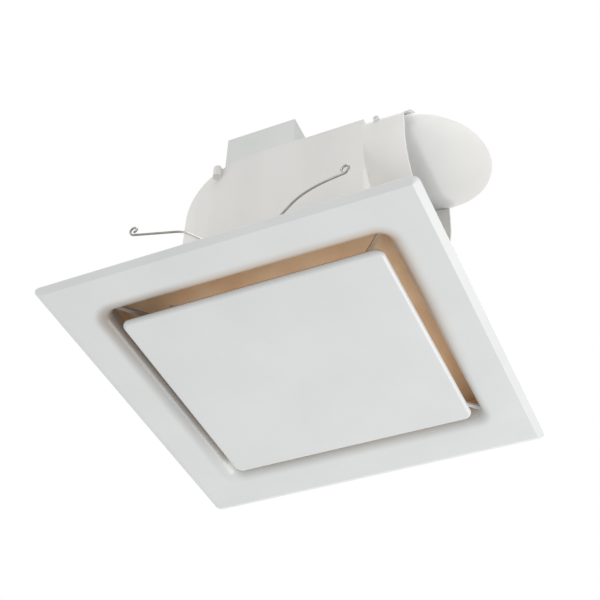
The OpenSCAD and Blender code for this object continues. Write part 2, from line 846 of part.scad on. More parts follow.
module cable_bush() {
  r = cable_d / 2;
  x = box_x + box_width;
  color([0.2, 0.2, 0.2])
  difference() {
    union() {
      rod_x(x, 1.6, bush_y, bush_z, r + 3.6);
      rod_x(x - box_wall - 0.2, box_wall + 0.4, bush_y, bush_z, r + 2);
      rod_x(x - box_wall - 1.6, 1.6, bush_y, bush_z, r + 3.2);
    }
    rod_x(x - 6, 10, bush_y, bush_z, r);
  }
}

module lead_grommet() {
  color([0.2, 0.2, 0.2])
  translate([lead_x, lead_y, roof_z]) difference() {
    union() {
      cylinder(r = 5, h = duct_wall + box_wall);
      translate([0, 0, duct_wall + box_wall]) cylinder(r = 6.2, h = 1.4);
      translate([0, 0, -1.4]) cylinder(r = 6.2, h = 1.4);
    }
    translate([0, 0, -3]) cylinder(r = 3, h = 12);
  }
}

block_x = box_x + box_width / 2 + 4;
block_y = box_y + 14;

module terminal_block() {
  z = housing_height + box_wall;
  color([0.9, 0.9, 0.88])
  difference() {
    union() {
      translate([block_x - 16, block_y - 8, z]) cube([32, 16, 8]);
      for (x = [-1:1]) translate([block_x + x * 9 - 3.6, block_y - 5.5, z]) cube([7.2, 11, 12]);
    }
    for (x = [-1:1]) {
      translate([block_x + x * 9, block_y, z + 7]) cylinder(r = 1.8, h = 8);
      rod_y(block_x + x * 9, block_y - 10, 20, z + 4.5, 1.6);
    }
    for (x = [-1, 1])
      translate([block_x + x * 14.5, block_y, z - 1]) cylinder(r = 1.2, h = 12);
  }
}

module terminal_screws() {
  z = housing_height + box_wall;
  color([0.75, 0.68, 0.45])
  for (x = [-1:1]) translate([block_x + x * 9, block_y, z + 7]) {
    difference() {
      cylinder(r = 1.8, h = 3);
      translate([-2, -0.3, 2.2]) cube([4, 0.6, 2]);
    }
  }
}

module run_capacitor() {
  z = housing_height + box_wall;
  color([0.85, 0.85, 0.83])
    translate([box_x + 24, box_y + box_depth - box_wall - 11, z]) cube([24, 10, 18]);
}

// Motor

module ring(r_out, r_in, z0, z1) {
  translate([wheel_x, wheel_y, z0]) difference() {
    cylinder(r = r_out, h = z1 - z0);
    translate([0, 0, -1]) cylinder(r = r_in, h = z1 - z0 + 2);
  }
}

module motor_upper_shield() {
  color([0.7, 0.71, 0.72])
  difference() {
    union() {
      ring(motor_radius, motor_radius - shield_wall, core_top, motor_top);
      ring(motor_radius, 1, motor_top - shield_wall, motor_top);
      ring(bearing_r + shield_wall, 1, motor_top - 1.8 - bearing_h, motor_top);
      for (p = motor_foot)
        translate([p[0], p[1], motor_top - shield_wall]) cylinder(r = 6, h = shield_wall);
    }
    translate([wheel_x, wheel_y, motor_top - 1.8 - bearing_h - 1])
      cylinder(r = bearing_r, h = bearing_h + 1);
    translate([wheel_x, wheel_y, motor_top - 3]) cylinder(r = 4, h = 5);
    for (p = motor_foot)
      translate([p[0], p[1], motor_top - 4]) cylinder(r = sr, h = 6);
  }
}

module motor_lower_shield() {
  color([0.7, 0.71, 0.72])
  difference() {
    union() {
      ring(motor_radius, motor_radius - shield_wall, motor_bottom, core_bottom);
      ring(motor_radius, 1, motor_bottom, motor_bottom + shield_wall);
      ring(bearing_r + shield_wall, 1, motor_bottom, motor_bottom + 1.2 + bearing_h);
    }
    translate([wheel_x, wheel_y, motor_bottom + 1.2]) cylinder(r = bearing_r, h = bearing_h + 1);
    translate([wheel_x, wheel_y, motor_bottom - 1]) cylinder(r = shaft_r + 2, h = 5);
    for (k = [0:7])
      translate(concat(at([wheel_x, wheel_y], motor_radius - 12, 22.5 + 45 * k), motor_bottom - 1))
        cylinder(r = 3, h = 4);
  }
}

module stator_core() {
  color([0.55, 0.56, 0.58])
  difference() {
    ring(motor_radius, core_in, core_bottom, core_top);
    for (k = [0:11])
      translate([wheel_x, wheel_y, core_bottom - 1]) rotate([0, 0, 30 * k]) {
        translate([core_in - 1, -1, 0]) cube([4, 2, core_height + 2]);
        translate([core_in + 2, -2.5, 0]) cube([8, 5, core_height + 2]);
      }
  }
}

module windings() {
  color([0.72, 0.42, 0.22]) {
    ring(motor_radius - 7, core_in + 2.5, core_top, core_top + 4.5);
    ring(motor_radius - 7, core_in + 2.5, core_bottom - 4.5, core_bottom);
    for (k = [0:11])
      translate([wheel_x, wheel_y, core_bottom - 0.5]) rotate([0, 0, 30 * k])
        translate([core_in + 2.5, -2.2, 0]) cube([7, 4.4, core_height + 1]);
  }
}

module bearing(z) {
  difference() {
    ring(bearing_r, shaft_r + running_fit, z, z + bearing_h);
    for (s = [-1, bearing_h - 0.6])
      ring(bearing_r - 2, shaft_r + 2, z + s, z + s + 1.6);
  }
}

module upper_bearing() {
  color([0.66, 0.67, 0.68]) bearing(motor_top - 1.8 - bearing_h);
}

module lower_bearing() {
  color([0.66, 0.67, 0.68]) bearing(motor_bottom + 1.2);
}

module motor_grommets() {
  color([0.2, 0.2, 0.2])
  for (p = motor_foot) translate([p[0], p[1], motor_top]) difference() {
    cylinder(r = 5, h = roof_z - motor_top);
    translate([0, 0, -1]) cylinder(r = sr, h = 5);
  }
}

module motor_screws() {
  len = housing_height - motor_top + shield_wall + 3;
  color([0.7, 0.7, 0.72])
  for (p = motor_foot) {
    screw_down(p, housing_height, len);
    translate([p[0], p[1], motor_top - shield_wall - 2.4]) difference() {
      cylinder(r = screw_d, h = 2.4, $fn = 6);
      translate([0, 0, -1]) cylinder(r = sr - 0.1, h = 5);
    }
  }
}

// Impeller

blade_span = 10;
function blade_side(s) = [for (i = [0:6])
  let (
    f = s > 0 ? i / 6 : 1 - i / 6,
    r = eye_r + 0.4 + f * (blade_depth - 0.9),
    a = blade_span * f * f + s * blade_wall / 2 / r * 57.3
  )
  [r * cos(a), r * sin(a)]];

// Back disc of the wheel with its hub and ribs.
module wheel_disc() {
  color([0.88, 0.88, 0.86])
  translate([wheel_x, wheel_y, 0])
  difference() {
    union() {
      translate([0, 0, wheel_top - 2]) cylinder(r = wheel_radius, h = 2);
      translate([0, 0, hub_bottom]) cylinder(r = hub_r, h = wheel_top - hub_bottom);
      for (k = [0:5]) rotate([0, 0, 60 * k])
        translate([hub_r - 1, -0.8, wheel_top - 8]) cube([22, 1.6, 7]);
    }
    translate([0, 0, hub_bottom - 1]) cylinder(r = shaft_r, h = wheel_top - hub_bottom + 2);
  }
}

module wheel_blades() {
  color([0.88, 0.88, 0.86])
  translate([wheel_x, wheel_y, wheel_bottom + 2])
    for (k = [0:blade_count - 1]) rotate([0, 0, 360 / blade_count * k])
      linear_extrude(wheel_top - wheel_bottom - 4)
        polygon(concat(blade_side(1), blade_side(-1)));
}

// Ring that ties the free ends of the blades.
module wheel_rim() {
  color([0.88, 0.88, 0.86])
  translate([wheel_x, wheel_y, wheel_bottom]) difference() {
    cylinder(r = wheel_radius, h = 2);
    translate([0, 0, -1]) cylinder(r = eye_r - 1, h = 4);
  }
}

module motor_rotor() {
  color([0.6, 0.61, 0.62]) {
    ring(rotor_r, shaft_r, core_bottom, core_top);
    ring(rotor_r - 5, shaft_r + 5, core_top, core_top + 1.4);
    ring(rotor_r - 5, shaft_r + 5, core_bottom - 1, core_bottom);
  }
}

module motor_shaft() {
  color([0.72, 0.73, 0.75])
  translate([wheel_x, wheel_y, hub_bottom - 7])
    cylinder(r = shaft_r, h = motor_top - 2.2 - hub_bottom + 7);
}

module wheel_nut() {
  color([0.72, 0.73, 0.75])
  translate([wheel_x, wheel_y, hub_bottom - 5]) difference() {
    union() {
      cylinder(r = shaft_r + 2.8, h = 4, $fn = 6);
      translate([0, 0, 4]) cylinder(r = shaft_r + 3.4, h = 1);
    }
    translate([0, 0, -1]) cylinder(r = shaft_r, h = 7);
  }
}

fascia_frame();
centre_panel();
panel_screws();
v_spring_near();
v_spring_far();
base_tray();
tray_top();
ceiling_flange();
flange_collar();
flange_rivets();
spring_bracket_near();
spring_bracket_far();
bracket_rivets();
inlet_ring();
inlet_screws();
scroll_housing();
tray_screws();
roof_plate();
roof_screws();
outlet_adapter();
adapter_screws();
hinge_pin();
terminal_box();
terminal_lid();
lid_screws();
cable_bush();
lead_grommet();
terminal_block();
terminal_screws();
run_capacitor();
motor_upper_shield();
motor_lower_shield();
stator_core();
windings();
upper_bearing();
lower_bearing();
motor_grommets();
motor_screws();
wheel_disc();
wheel_blades();
wheel_rim();
motor_rotor();
motor_shaft();
wheel_nut();
backdraft_flap();
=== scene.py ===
# %% [markdown]
# # A square ceiling fan, dressed for a product photograph
#
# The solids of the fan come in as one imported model. This lesson gives them plastic, steel,
# copper and rubber finishes, softens their edges, winds the two wire springs anew with round
# wire, and lights the fan from below and from all round, as the photograph shows it.

# %% Load the solids
import math
import json

import bpy
import bmesh
from mathutils import Matrix, Vector


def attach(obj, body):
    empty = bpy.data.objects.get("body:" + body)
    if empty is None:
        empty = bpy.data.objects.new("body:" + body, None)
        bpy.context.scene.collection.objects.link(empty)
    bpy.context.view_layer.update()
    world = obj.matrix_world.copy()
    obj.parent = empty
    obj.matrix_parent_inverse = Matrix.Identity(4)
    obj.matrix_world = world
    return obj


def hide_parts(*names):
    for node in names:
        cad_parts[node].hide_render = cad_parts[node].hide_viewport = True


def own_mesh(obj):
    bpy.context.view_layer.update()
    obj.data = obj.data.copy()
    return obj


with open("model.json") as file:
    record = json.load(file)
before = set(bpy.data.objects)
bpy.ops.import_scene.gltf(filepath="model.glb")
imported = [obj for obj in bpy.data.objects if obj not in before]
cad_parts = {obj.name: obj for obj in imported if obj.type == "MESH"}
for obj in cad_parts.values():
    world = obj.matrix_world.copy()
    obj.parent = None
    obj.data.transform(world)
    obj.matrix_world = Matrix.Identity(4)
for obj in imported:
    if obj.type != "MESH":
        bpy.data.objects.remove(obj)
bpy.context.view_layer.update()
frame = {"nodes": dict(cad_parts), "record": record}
MM = 0.001

# %% [markdown]
# ## The camera
#
# The photograph looks up at the fan from 43 degrees below. The camera's place and its three
# directions were worked out from the straight edges of the fascia, which give the vanishing
# points. A lens of 75 mm on a 36 mm sensor keeps the mild perspective.

# %% Set up the camera
AZIMUTH, ELEVATION, ROLL = math.radians(25.673), math.radians(42.999), math.radians(-2.704)
CAMERA_X, CAMERA_Y, CAMERA_Z = 320.5 * MM, -677.8 * MM, -627.8 * MM
SENSOR_MM, LENS_MM = 36, 75.327

look = Vector((-math.sin(AZIMUTH) * math.cos(ELEVATION),
               math.cos(AZIMUTH) * math.cos(ELEVATION), math.sin(ELEVATION)))
level = Vector((math.cos(AZIMUTH), math.sin(AZIMUTH), 0))
down = look.cross(level)
right = level * math.cos(ROLL) + down * math.sin(ROLL)
down = -level * math.sin(ROLL) + down * math.cos(ROLL)

camera = bpy.data.objects.new("camera", bpy.data.cameras.new("camera"))
bpy.context.scene.collection.objects.link(camera)
camera.matrix_world = Matrix((
    (right.x, -down.x, -look.x, CAMERA_X),
    (right.y, -down.y, -look.y, CAMERA_Y),
    (right.z, -down.z, -look.z, CAMERA_Z),
    (0, 0, 0, 1)))
camera.data.sensor_width = SENSOR_MM
camera.data.lens = LENS_MM
camera.data.clip_start = 0.01
bpy.context.scene.camera = camera
print("camera looks along", [round(v, 3) for v in look])

# %% [markdown]
# ## Helpers for colour and for shader nodes
#
# Colours are written as sRGB hex, the way a paint picker gives them. Blender's sockets want
# linear light, so one function turns one into the other. A second one adds a shader node with
# its settings and its links in a single call, which keeps each finish short enough to read.
#
# What passes from node to node is a source: a pair of a node and the name of its output. Each
# material starts from the source of places, which are measured in the piece's own frame.

# %% Colour and node helpers
def linear(hex_colour):
    """The linear RGBA of an sRGB hex colour such as 'E4E6E5'."""
    parts = [int(hex_colour[i:i + 2], 16) / 255 for i in (0, 2, 4)]
    return tuple(c / 12.92 if c <= 0.04045 else ((c + 0.055) / 1.055) ** 2.4
                 for c in parts) + (1.0,)


def add(tree, kind, inputs=None, **settings):
    """Adds a node. inputs maps a socket's name or number to a value or to a source."""
    made = tree.nodes.new(kind)
    for name, value in settings.items():
        setattr(made, name, value)
    for name, value in (inputs or {}).items():
        if isinstance(value, tuple) and hasattr(value[0], "outputs"):
            tree.links.new(value[0].outputs[value[1]], made.inputs[name])
        else:
            made.inputs[name].default_value = value
    return made


def start(name, **sockets):
    """A new material, its tree, its shader with constant sockets set, and the source of places."""
    material = bpy.data.materials.new(name)
    material.use_nodes = True
    tree = material.node_tree
    shader = tree.nodes["Principled BSDF"]
    for socket, value in sockets.items():
        shader.inputs[socket.replace("_", " ")].default_value = value
    place = (add(tree, "ShaderNodeTexCoord"), "Object")
    return material, tree, shader, place


print("E4E6E5 is linear", [round(v, 3) for v in linear("E4E6E5")])

# %% [markdown]
# ## Helpers for tone, sheen and relief
#
# No real surface is quite even. One helper lets the colour wander between two tones in patches,
# another gives a fine grain to the sheen and the relief. Both draw on a noise, as that has no
# seams and no direction. Blender's noise seldom leaves the range from 0.3 to 0.7, so the tone
# turns over that range.

# %% Tone, sheen and relief
NOISE_LOW, NOISE_HIGH = 0.3, 0.7


def spread(tree, place, shader, dark, light, size_mm, detail=3.0):
    """Lets the base colour wander between two hex colours in patches of that size."""
    patches = add(tree, "ShaderNodeTexNoise",
                  {"Vector": place, "Scale": 1 / (size_mm * MM), "Detail": detail})
    share = add(tree, "ShaderNodeMapRange",
                {"Value": (patches, "Fac"), "From Min": NOISE_LOW, "From Max": NOISE_HIGH})
    tone = add(tree, "ShaderNodeMix",
               {0: (share, "Result"), 6: linear(dark), 7: linear(light)}, data_type="RGBA")
    tree.links.new(tone.outputs[2], shader.inputs["Base Color"])


def roughen(tree, shader, source, low, high, depth_mm=0, strength=0):
    """Lets the roughness follow a source from low to high, and raises the surface with it."""
    sheen = add(tree, "ShaderNodeMapRange", {"Value": source, "To Min": low, "To Max": high})
    tree.links.new(sheen.outputs["Result"], shader.inputs["Roughness"])
    if depth_mm:
        relief = add(tree, "ShaderNodeBump",
                     {"Height": source, "Distance": depth_mm * MM, "Strength": strength})
        tree.links.new(relief.outputs["Normal"], shader.inputs["Normal"])


def grain(tree, place, shader, size_mm, detail, **surface):
    """Roughens the surface with grains of that size."""
    grains = add(tree, "ShaderNodeTexNoise",
                 {"Vector": place, "Scale": 1 / (size_mm * MM), "Detail": detail})
    roughen(tree, shader, (grains, "Fac"), **surface)


print("the tone turns over the noise from", NOISE_LOW, "to", NOISE_HIGH)

# %% [markdown]
# ## ABS, injection moulded, satin: the fascia
#
# The frame and the panel are moulded in white ABS in a tool with a fine spark texture. That
# gives the eye an even, slightly cool white with a broad soft sheen and no sharp reflections.
# The texture's grain is about 0.2 mm, too fine for the render, so it is drawn at 0.9 mm.
#
# The rolled lip of the intake has shade painted into its colour: at the near side a warm brown
# painted shade, which stands for the warm bounce light of the beige interior, and at the left a
# grey painted shade. The painted shade starts where the flat ends and deepens towards the throat.
# It is worked out from places on the piece, so it needs no picture. The finished materials are
# kept under the names of their slots in the part's record.

# %% The fascia's ABS
FINISH = {}
LIP_CENTRE = 103 * MM
LIP_OUT, LIP_IN = 22 * MM, 10 * MM
FLAT_Z = -3 * MM
ROLL_LOW, ROLL_HIGH = FLAT_Z - 0.08 * MM, FLAT_Z - 0.02 * MM


def paint_lip_shade(tree, place, shader, colour, amount, side, low, high):
    """Paints shade into the colour of the intake's lip; along side, it starts at low and is full
    at high.
    """
    past = place
    for operation, other in (("MULTIPLY", (1, 1, 0)), ("ABSOLUTE", (0, 0, 0)),
                             ("SUBTRACT", (LIP_CENTRE, LIP_CENTRE, 0)), ("MAXIMUM", (0, 0, 0))):
        step = add(tree, "ShaderNodeVectorMath", {0: past, 1: other}, operation=operation)
        past = (step, "Vector")
    reach = add(tree, "ShaderNodeVectorMath", {0: past}, operation="LENGTH")
    along = add(tree, "ShaderNodeVectorMath", {0: place, 1: side}, operation="DOT_PRODUCT")
    axes = add(tree, "ShaderNodeSeparateXYZ", {"Vector": place})
    share = amount
    for source, none_at, full_at in (((reach, "Value"), LIP_OUT, LIP_IN),
                                     ((axes, "Z"), ROLL_LOW, ROLL_HIGH),
                                     ((along, "Value"), low, high)):
        mask = add(tree, "ShaderNodeMapRange",
                   {"Value": source, "From Min": none_at, "From Max": full_at},
                   interpolation_type="SMOOTHSTEP")
        product = add(tree, "ShaderNodeMath", {0: (mask, "Result"), 1: share},
                      operation="MULTIPLY")
        share = (product, "Value")
    mixed = add(tree, "ShaderNodeMix", {0: share, 7: linear(colour)}, data_type="RGBA")
    tree.links.new(shader.inputs["Base Color"].links[0].from_socket, mixed.inputs[6])
    tree.links.new(mixed.outputs[2], shader.inputs["Base Color"])


def moulded_abs():
    material, tree, shader, place = start("ABS, injection moulded, satin", IOR=1.54)
    spread(tree, place, shader, "E3E5E4", "E8EAE9", size_mm=70)
    # painted shade: warm brown on the near side, standing for the bounce light of the beige
    # interior
    paint_lip_shade(tree, place, shader, "AD8F6F", amount=0.75,
          side=(0.3, -1, 0), low=-40 * MM, high=100 * MM)
    # painted shade: grey on the left side of the lip, darkest towards the throat
    paint_lip_shade(tree, place, shader, "858482", amount=0.6,
          side=(-1, -0.35, 0), low=65 * MM, high=110 * MM)
    grain(tree, place, shader, size_mm=0.9, detail=2.0, low=0.27, high=0.34,
          depth_mm=0.012, strength=0.6)
    return material


FINISH["fascia_plastic"] = moulded_abs()
print("made", FINISH["fascia_plastic"].name)

# %% [markdown]
# ## Polypropylene, injection moulded, matt: the housing
#
# The parts above the fascia are moulded in polypropylene. It is waxy and duller than ABS, and
# flow marks from the gate show as faint streaks, drawn here as noise stretched along the height.
# The flap is a thin moulding, so some light passes into it and comes out beside where it went in.
# The wheel is a glass filled polyamide, which looks much the same and a little warmer.

# %% The housing's polypropylene
def matt_moulding(name, dark, light, rough, **sockets):
    """A moulded plastic with faint flow marks and a fine grain."""
    material, tree, shader, place = start(name, IOR=1.49, **sockets)
    stretch = add(tree, "ShaderNodeMapping", {"Vector": place, "Scale": (1, 1, 0.25)})
    spread(tree, (stretch, "Vector"), shader, dark, light, size_mm=38, detail=4.0)
    grain(tree, place, shader, size_mm=1.1, detail=2.0, low=rough - 0.05, high=rough + 0.05,
          depth_mm=0.02, strength=0.6)
    return material


FINISH["housing_plastic"] = matt_moulding(
    "polypropylene, injection moulded, matt", "DFDEDB", "E5E4E1", rough=0.55)
FINISH["tray_plastic"] = matt_moulding(
    "polypropylene, warm beige, matt", "CBA680", "DDC19F", rough=0.5)
FINISH["box_plastic"] = matt_moulding(
    "polypropylene, pale grey, matt", "D8DAD8", "DDDFDD", rough=0.52)
FINISH["flap_plastic"] = matt_moulding(
    "polypropylene sheet, thin moulding, satin", "E4E5E3", "E9EAE8", rough=0.45,
    Subsurface_Weight=1.0, Subsurface_Radius=(1, 1, 1), Subsurface_Scale=4 * MM)
FINISH["wheel_plastic"] = matt_moulding(
    "polyamide, glass filled, matt", "D6D2C8", "DDD9D0", rough=0.5)
print("finishes so far:", sorted(FINISH))

# %% [markdown]
# ## Spring wire, drawn
#
# Drawn wire has fine scratches and a dark, clean metal tone. Noise in the roughness breaks the
# highlight along the wire, which tells the eye that it was pulled through a die.

# %% Spring wire
def drawn_wire():
    material, tree, shader, place = start("spring steel wire, drawn, bright", Metallic=1.0)
    spread(tree, place, shader, "8F8E8B", "A3A29E", size_mm=6)
    grain(tree, place, shader, size_mm=1.5, detail=4.0, low=0.22, high=0.42)
    return material


FINISH["spring_steel"] = drawn_wire()
print("made", FINISH["spring_steel"].name)

# %% [markdown]
# ## Zinc plate, on sheet and on screws
#
# Zinc plate is pale, slightly blue and cloudy. On the sheet parts its crystals are about 5 mm
# wide, and on the screws about 1 mm. Each crystal has its own tone and its own sheen.

# %% Zinc
def zinc(name, dark, light, cell_mm):
    """Plated steel with crystals of that size."""
    material, tree, shader, place = start(name, Metallic=1.0)
    cells = add(tree, "ShaderNodeTexVoronoi", {"Vector": place, "Scale": 1 / (cell_mm * MM)})
    random = add(tree, "ShaderNodeSeparateColor", {"Color": (cells, "Color")})
    tone = add(tree, "ShaderNodeMix",
               {0: (random, "Red"), 6: linear(dark), 7: linear(light)}, data_type="RGBA")
    tree.links.new(tone.outputs[2], shader.inputs["Base Color"])
    roughen(tree, shader, (random, "Green"), low=0.3, high=0.48)
    return material


FINISH["zinc_sheet"] = zinc("steel sheet, zinc plated", "B4B6B8", "C2C4C5", cell_mm=5)
FINISH["zinc_screws"] = zinc("steel screw, zinc plated", "AFB0B1", "C0C1C2", cell_mm=1.2)
print("made", FINISH["zinc_sheet"].name)

# %% [markdown]
# ## The motor: coated steel, laminations, copper and ground steel
#
# The end shields are pressed steel with a thin grey stoved coat, which pulls into a faint
# orange peel. The core is a stack of 0.5 mm sheets; its edge lines are drawn at 1 mm so that
# they show. The copper is lacquered, so a clear coat lies over a warm metal. Shafts and
# bearings are ground, which leaves fine rings round them. Blender's wave texture draws 3.18
# waves to one unit of its scale.

# %% Motor finishes
WAVES = 3.18


def stoved_steel():
    material, tree, shader, place = start("steel, pressed, grey stoved enamel",
                                          IOR=1.5, Coat_Weight=0.15)
    spread(tree, place, shader, "A9ABAC", "B3B5B6", size_mm=25)
    grain(tree, place, shader, size_mm=2.2, detail=1.0, low=0.34, high=0.44,
          depth_mm=0.03, strength=0.5)
    return material


def banded_metal(name, dark, light, band_mm, low, high, **sockets):
    """A metal with fine bands across its height; its roughness turns from low to high."""
    material, tree, shader, place = start(name, Metallic=1.0, **sockets)
    bands = add(tree, "ShaderNodeTexWave",
                {"Vector": place, "Scale": 1 / (band_mm * MM) / WAVES,
                 "Distortion": 0.6, "Detail": 2.0}, bands_direction="Z")
    tone = add(tree, "ShaderNodeMix",
               {0: (bands, "Fac"), 6: linear(dark), 7: linear(light)}, data_type="RGBA")
    tree.links.new(tone.outputs[2], shader.inputs["Base Color"])
    roughen(tree, shader, (bands, "Fac"), low, high, depth_mm=0.04, strength=0.5)
    return material


FINISH["motor_steel"] = stoved_steel()
FINISH["laminations"] = banded_metal(
    "electrical steel, stacked sheets", "5E6165", "8A8D91", band_mm=1.0, low=0.35, high=0.55)
FINISH["copper_windings"] = banded_metal(
    "copper wire, lacquered", "8C4A22", "C4763C", band_mm=0.9, low=0.25, high=0.4,
    Coat_Weight=0.6)
FINISH["ground_steel"] = banded_metal(
    "steel, ground", "A5A7A9", "BDBFC0", band_mm=0.7, low=0.18, high=0.3)
FINISH["brass_screws"] = banded_metal(
    "brass, turned", "B09045", "CBAA5C", band_mm=0.6, low=0.22, high=0.36)
print("made", FINISH["laminations"].name, FINISH["copper_windings"].name)

# %% [markdown]
# ## Rubber, nylon and the capacitor's case
#
# The rubber has a dusty bloom, so it is never black and never shiny. Nylon is a creamy
# translucent white and a little waxy. The capacitor's case is a glossy polyester.

# %% Rubber, nylon and polyester
def small_moulding(name, dark, light, grain_mm, low, high, ior):
    """A small moulded piece with a grain; its roughness turns from low to high."""
    material, tree, shader, place = start(name, IOR=ior)
    spread(tree, place, shader, dark, light, size_mm=9)
    grain(tree, place, shader, size_mm=grain_mm, detail=3.0, low=low, high=high,
          depth_mm=0.02, strength=0.5)
    return material


FINISH["black_rubber"] = small_moulding(
    "rubber, moulded, black", "232323", "2E2D2C", grain_mm=0.8, low=0.62, high=0.8, ior=1.52)
FINISH["terminal_plastic"] = small_moulding(
    "nylon, moulded, natural white", "E2E0D8", "EAE8E1", grain_mm=1.0, low=0.35, high=0.45,
    ior=1.53)
FINISH["capacitor_plastic"] = small_moulding(
    "polyester case, glossy", "D2D2CD", "DADAD6", grain_mm=2.5, low=0.2, high=0.3, ior=1.56)
print("finishes:", len(FINISH))

# %% [markdown]
# ## Dress the solids
#
# Each solid takes the finish of its slot in the part's record. Real mouldings and stampings have
# no knife edges, so each solid gets a Weld, then a Bevel with hardened normals: the flat faces
# stay flat and every edge catches a thin line of light. The widths are typical tool radii.
#
# Between the two, the triangles of a flat are merged into one face. The centre panel is left out
# of that: its back has posts standing in it, and as one face it would grow a loose sheet. The
# solids of the springs get no radius, because round wire takes their place further down.

# %% Finishes and edge radii
EDGE_MM = {
    "fascia_plastic": 0.35, "housing_plastic": 0.35, "box_plastic": 0.5, "flap_plastic": 0.3,
    "wheel_plastic": 0.2, "zinc_sheet": 0.15, "zinc_screws": 0.12, "motor_steel": 0.4,
    "laminations": 0.1, "copper_windings": 0.8, "ground_steel": 0.12, "black_rubber": 0.25,
    "tray_plastic": 0.35, "terminal_plastic": 0.25, "brass_screws": 0.1,
    "capacitor_plastic": 0.6, "spring_steel": 0.0,
}
WELD_GAP = 0.002 * MM
FLAT_ANGLE, EDGE_ANGLE = math.radians(0.4), math.radians(15)


def soften(piece, width_mm, merge_flats):
    """Rounds the edges of a piece without touching its own points."""
    for face in piece.data.polygons:
        face.use_smooth = True
    if "custom_normal" in piece.data.attributes:
        piece.data.attributes.remove(piece.data.attributes["custom_normal"])
    weld = piece.modifiers.new("join the facets", "WELD")
    weld.merge_threshold = WELD_GAP
    if merge_flats:
        flat = piece.modifiers.new("one face for each flat", "DECIMATE")
        flat.decimate_type = "DISSOLVE"
        flat.angle_limit = FLAT_ANGLE
    if width_mm:
        edge = piece.modifiers.new("tool radius", "BEVEL")
        edge.width = width_mm * MM
        edge.segments = 2
        edge.limit_method = "ANGLE"
        edge.angle_limit = EDGE_ANGLE
        edge.harden_normals = True
        edge.use_clamp_overlap = True


for part in frame["record"]["subparts"]:
    piece = frame["nodes"][part["node"]]
    piece.data.materials.clear()
    piece.data.materials.append(FINISH[part["material_slot"]])
    soften(piece, EDGE_MM[part["material_slot"]], merge_flats=part["node"] != "centre_panel")

# %% [markdown]
# ## Wind the V springs again with round wire
#
# The solids carry the springs as six-sided wire. Here the same path is drawn with finer steps,
# first an arm. It leaves the coil at its own slope, bends over an arc and leans out to its tip,
# which is curled. The curl leans out by 3 mm in a turn, so the wire never meets itself. The
# lengths given for the right and the left arm are in millimetres.

# %% The path of an arm
WIRE = 1.8 * MM
COIL_R = 3.2 * MM
COIL_Z = 4.3 * MM
SPRING_Y = 121 * MM
RIGHT_ARM = dict(slope=1.1, bend=50, reach=88, tip=52.8, before=16, after=30)
LEFT_ARM = dict(slope=0.89, bend=45.7, reach=86, tip=56.1, before=5, after=6)
BEND_STEPS = 20
TIP_LEAN = 9 * MM
CURL_R = 3.1 * MM
CURL_TURN, CURL_STEP = 300, 12
CURL_LEAN, END_LEAN = 3 * MM, 0.25 * MM


def arm(slope, bend, reach, tip, before, after, y):
    """Points of one arm from the coil to its tip, on the +X side."""
    tilt = math.atan(1 / slope)
    leave = Vector((-COIL_R * math.cos(tilt), y, COIL_Z + COIL_R * math.sin(tilt)))
    rise = Vector((math.sin(tilt), 0, math.cos(tilt)))
    corner = Vector((bend * MM, y, leave.z + (bend * MM - leave.x) * slope))
    end = Vector((reach * MM, -SPRING_Y - TIP_LEAN, tip * MM))
    out = (end - corner).normalized()
    first, last = corner - rise * before * MM, corner + out * after * MM
    up = out.cross(Vector((0, 1, 0))).normalized()
    up = up if up.z > 0 else -up
    points = [leave + rise * WIRE * 0.5, leave.lerp(first, 0.3), leave.lerp(first, 0.6), first]
    for i in range(1, BEND_STEPS):
        f = i / BEND_STEPS
        points.append(first * (1 - f) ** 2 + corner * 2 * f * (1 - f) + last * f * f)
    points += [last, last.lerp(end, 0.35), last.lerp(end, 0.7)]
    for turn in range(0, CURL_TURN + 1, CURL_STEP):
        a = math.radians(turn)
        points.append(end + out * CURL_R * math.sin(a) + up * CURL_R * (1 - math.cos(a))
                      + Vector((0, -CURL_LEAN * turn / 360, 0)))
    points.append(points[-1] + (out * math.cos(a) + up * math.sin(a)) * WIRE
                  + Vector((0, -END_LEAN, 0)))
    return points


print("points of an arm:", len(arm(y=-SPRING_Y, **RIGHT_ARM)))

# %% [markdown]
# ## The whole path
#
# The wire starts at the curl of the right arm, comes down to the coil, goes round it three and
# three quarter times and climbs to the left curl. The left arm is drawn on the right side too,
# and then mirrored.

# %% The path of a spring
FULL_TURNS = 3
COIL_PITCH = 2.25 * MM
COIL_SPAN = (FULL_TURNS + 0.75) * COIL_PITCH
COIL_STEPS = 110


def spring_path():
    """The whole wire of the near spring, from the right tip to the left tip."""
    right_end = math.degrees(math.atan(1 / RIGHT_ARM["slope"]))
    left_end = math.degrees(math.atan(1 / LEFT_ARM["slope"]))
    sweep = 360 * FULL_TURNS + 180 + right_end + left_end
    y_right, y_left = -SPRING_Y + COIL_SPAN / 2, -SPRING_Y - COIL_SPAN / 2
    path = list(reversed(arm(y=y_right, **RIGHT_ARM)))
    for i in range(COIL_STEPS + 1):
        a = math.radians(180 - right_end + sweep * i / COIL_STEPS)
        path.append(Vector((COIL_R * math.cos(a), y_right - COIL_SPAN * i / COIL_STEPS,
                            COIL_Z + COIL_R * math.sin(a))))
    path += [Vector((-p.x, p.y, p.z)) for p in arm(y=y_left, **LEFT_ARM)]
    return path


near_path = spring_path()
length = sum((a - b).length for a, b in zip(near_path, near_path[1:]))
print("wire of one spring:", round(length * 1000), "mm")

# %% [markdown]
# ## Tubes along the paths
#
# A round section of 16 sides follows each path. Its frames are built from one fixed direction,
# because the arms lie almost in planes across that direction. The far spring is the mirror of the
# near one. Both ride down with the fascia.

# %% Wind the two springs
SIDES = 16


